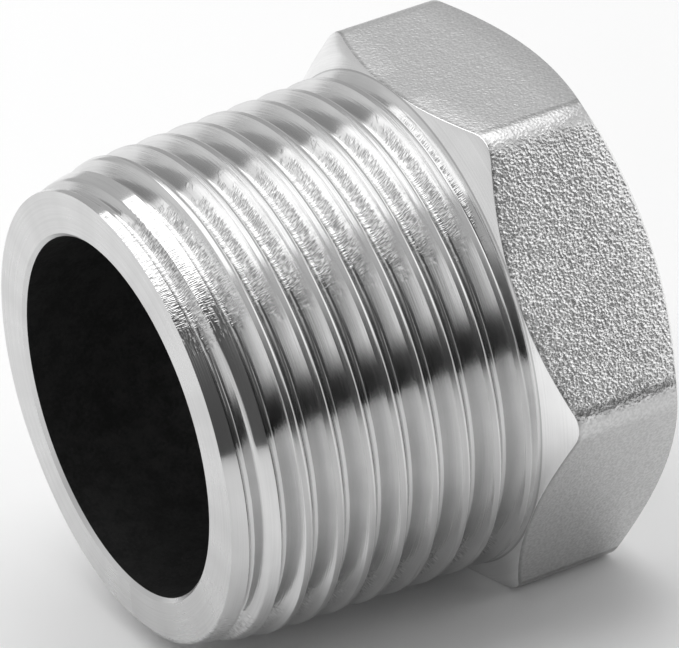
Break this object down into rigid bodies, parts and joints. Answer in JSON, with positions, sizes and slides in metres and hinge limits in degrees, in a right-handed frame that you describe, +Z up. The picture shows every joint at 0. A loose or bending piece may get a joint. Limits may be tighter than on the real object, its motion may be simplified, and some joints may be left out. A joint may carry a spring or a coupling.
{
  "type": "hex bushing",
  "caption": "Hexagonal reducing bushing for pipework: a taper-threaded shank outside, a smaller threaded bore inside and a hexagonal head for a wrench.",
  "frame": {"origin": "on the supporting surface, under the middle of the bushing's length", "axes": "+X along the bushing's axis from the threaded shank to the open end of the head, +Z up, square to the hex flat that it lies on"},
  "size_m": [0.026, 0.0306, 0.027],
  "materials": {
    "stainless": "cast surface on the flats, turned and threaded elsewhere"
  },
  "bodies": {
    "root": {"hex_bushing": "stainless"}
  },
  "joints": []
}
